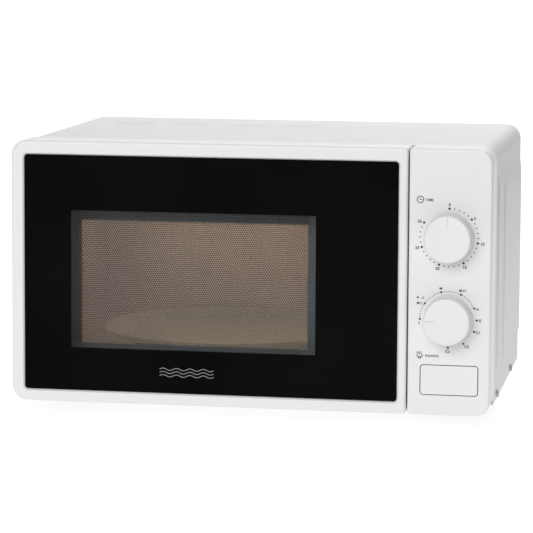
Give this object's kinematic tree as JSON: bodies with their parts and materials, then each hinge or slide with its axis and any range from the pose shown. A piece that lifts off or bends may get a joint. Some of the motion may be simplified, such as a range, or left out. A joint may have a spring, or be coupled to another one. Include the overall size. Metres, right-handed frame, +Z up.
{
  "type": "microwave oven",
  "caption": "Countertop microwave oven with a side-hinged glass door, rotary timer and power knobs, a push-button door release, turntable and quartz grill.",
  "frame": {"origin": "on the ground under the middle of the overall box", "axes": "+X to the viewer's right, the door faces -Y, +Z up"},
  "size_m": [0.4426, 0.34, 0.255],
  "materials": {
    "painted_steel": "satin off-white powder coat",
    "zinc_steel": "zinc-plated sheet",
    "oven_enamel": "light grey oven enamel",
    "case_plastic": "off-white moulded plastic",
    "door_glass": "clear glass printed black on its inner side round the window",
    "dark_steel": "dark painted perforated steel",
    "dark_plastic": "black moulded plastic",
    "clear_film": "clear sheet",
    "engineering_plastic": "natural engineering plastic",
    "turntable_glass": "pressed glass",
    "mica": "pressed mica sheet",
    "aluminium_fins": "stamped sheet",
    "copper_alloy": "copper and enamelled wire",
    "iron_core": "laminated electrical steel",
    "plated_steel": "bright plated steel",
    "quartz": "fused quartz tube",
    "lamp_glass": "lamp bulb, lit",
    "capacitor_can": "drawn aluminium can",
    "diode_body": "moulded black",
    "circuit_board": "green printed circuit board",
    "screw_steel": "dark plated screws"
  },
  "bodies": {
    "root": {"outer_cabinet": "painted_steel", "back_plate": "zinc_steel", "base_plate": "zinc_steel", "feet": "dark_plastic", "rear_spacers": "dark_plastic", "front_plate": "zinc_steel", "oven_shell": "oven_enamel", "oven_floor": "oven_enamel", "oven_back": "oven_enamel", "waveguide": "zinc_steel", "waveguide_cover": "mica", "magnetron_yoke": "zinc_steel", "magnetron_fins": "aluminium_fins", "magnetron_anode": "copper_alloy", "magnetron_filter_box": "zinc_steel", "transformer_core": "iron_core", "transformer_windings": "copper_alloy", "hv_capacitor": "capacitor_can", "capacitor_strap": "zinc_steel", "hv_diode": "diode_body", "fan_shroud": "zinc_steel", "fan_motor": "iron_core", "turntable_motor": "copper_alloy", "oven_lamp": "lamp_glass", "lamp_holder": "engineering_plastic", "grill_tubes": "quartz", "grill_reflector": "plated_steel", "grill_guard": "plated_steel", "timer_module": "engineering_plastic", "power_switch": "engineering_plastic", "control_panel": "case_plastic", "button_spring": "plated_steel", "interlock_bracket": "engineering_plastic", "door_switches": "dark_plastic", "upper_hinge": "zinc_steel", "lower_hinge": "zinc_steel", "filter_board": "circuit_board", "cord_gland": "dark_plastic", "side_screws": "screw_steel", "rear_screws": "screw_steel"},
    "door": {"door_frame": "case_plastic", "door_glass": "door_glass", "door_inner_panel": "dark_steel", "door_choke_cover": "dark_plastic", "inner_window": "clear_film", "latch_spring": "plated_steel"},
    "latch": {"door_latch": "engineering_plastic"},
    "timer_dial": {"timer_knob": "case_plastic", "timer_shaft": "plated_steel"},
    "power_dial": {"power_knob": "case_plastic", "power_shaft": "plated_steel"},
    "button": {"release_button": "case_plastic"},
    "lever": {"release_lever": "engineering_plastic"},
    "coupler": {"turntable_coupler": "engineering_plastic"},
    "plate": {"turntable_plate": "turntable_glass"},
    "ring": {"roller_ring": "engineering_plastic"},
    "wheel_1": {"roller_wheel_1": "engineering_plastic"},
    "wheel_2": {"roller_wheel_2": "engineering_plastic"},
    "wheel_3": {"roller_wheel_3": "engineering_plastic"},
    "fan": {"fan_blade": "engineering_plastic"}
  },
  "joints": [
    {"name": "door_hinge", "type": "hinge", "parent": "root", "child": "door", "pos_m": [-0.212, -0.127, 0.135], "axis": [0, 0, -1], "range_deg": [0, 100]},
    {"name": "latch_slide", "type": "slide", "parent": "door", "child": "latch", "axis": [0, 0, 1], "range_m": [0, 0.004]},
    {"name": "button_press", "type": "slide", "parent": "root", "child": "button", "axis": [0, 1, 0], "range_m": [0, 0.0045], "stiffness_N_per_m": 400},
    {"name": "lever_turn", "type": "hinge", "parent": "root", "child": "lever", "pos_m": [0.1433, -0.08, 0.04], "axis": [-1, 0, 0], "range_deg": [0, 16.62]},
    {"name": "timer_turn", "type": "hinge", "parent": "root", "child": "timer_dial", "pos_m": [0.1818, -0.152, 0.1756], "axis": [0, 1, 0], "range_deg": [0, 300]},
    {"name": "power_turn", "type": "hinge", "parent": "root", "child": "power_dial", "pos_m": [0.1818, -0.152, 0.102], "axis": [0, 1, 0], "range_deg": [0, 270]},
    {"name": "coupler_spin", "type": "hinge", "parent": "root", "child": "coupler", "pos_m": [-0.048, 0.01615, 0.038], "axis": [0, 0, 1], "continuous": true},
    {"name": "plate_lift", "type": "slide", "parent": "coupler", "child": "plate", "axis": [0, 0, 1], "range_m": [0, 0.03]},
    {"name": "ring_roll", "type": "hinge", "parent": "root", "child": "ring", "pos_m": [-0.048, 0.01615, 0.0453], "axis": [0, 0, 1], "continuous": true},
    {"name": "wheel_1_spin", "type": "hinge", "parent": "ring", "child": "wheel_1", "pos_m": [0.048, 0.01615, 0.0453], "axis": [1, 0, 0], "continuous": true},
    {"name": "wheel_2_spin", "type": "hinge", "parent": "ring", "child": "wheel_2", "pos_m": [-0.096, 0.09929, 0.0453], "axis": [-0.5, 0.866, 0], "continuous": true},
    {"name": "wheel_3_spin", "type": "hinge", "parent": "ring", "child": "wheel_3", "pos_m": [-0.096, -0.06699, 0.0453], "axis": [-0.5, -0.866, 0], "continuous": true},
    {"name": "fan_spin", "type": "hinge", "parent": "root", "child": "fan", "pos_m": [0.16285, 0.12, 0.0948], "axis": [0, 1, 0], "continuous": true}
  ],
  "couplings": [
    {"joint": "latch_slide", "follows": "button_press", "ratio": 0.88889},
    {"joint": "lever_turn", "follows": "button_press", "rad_per_m": 64.444},
    {"joint": "ring_roll", "follows": "coupler_spin", "ratio": 0.5},
    {"joint": "wheel_1_spin", "follows": "coupler_spin", "ratio": -6.8571},
    {"joint": "wheel_2_spin", "follows": "coupler_spin", "ratio": -6.8571},
    {"joint": "wheel_3_spin", "follows": "coupler_spin", "ratio": -6.8571}
  ]
}
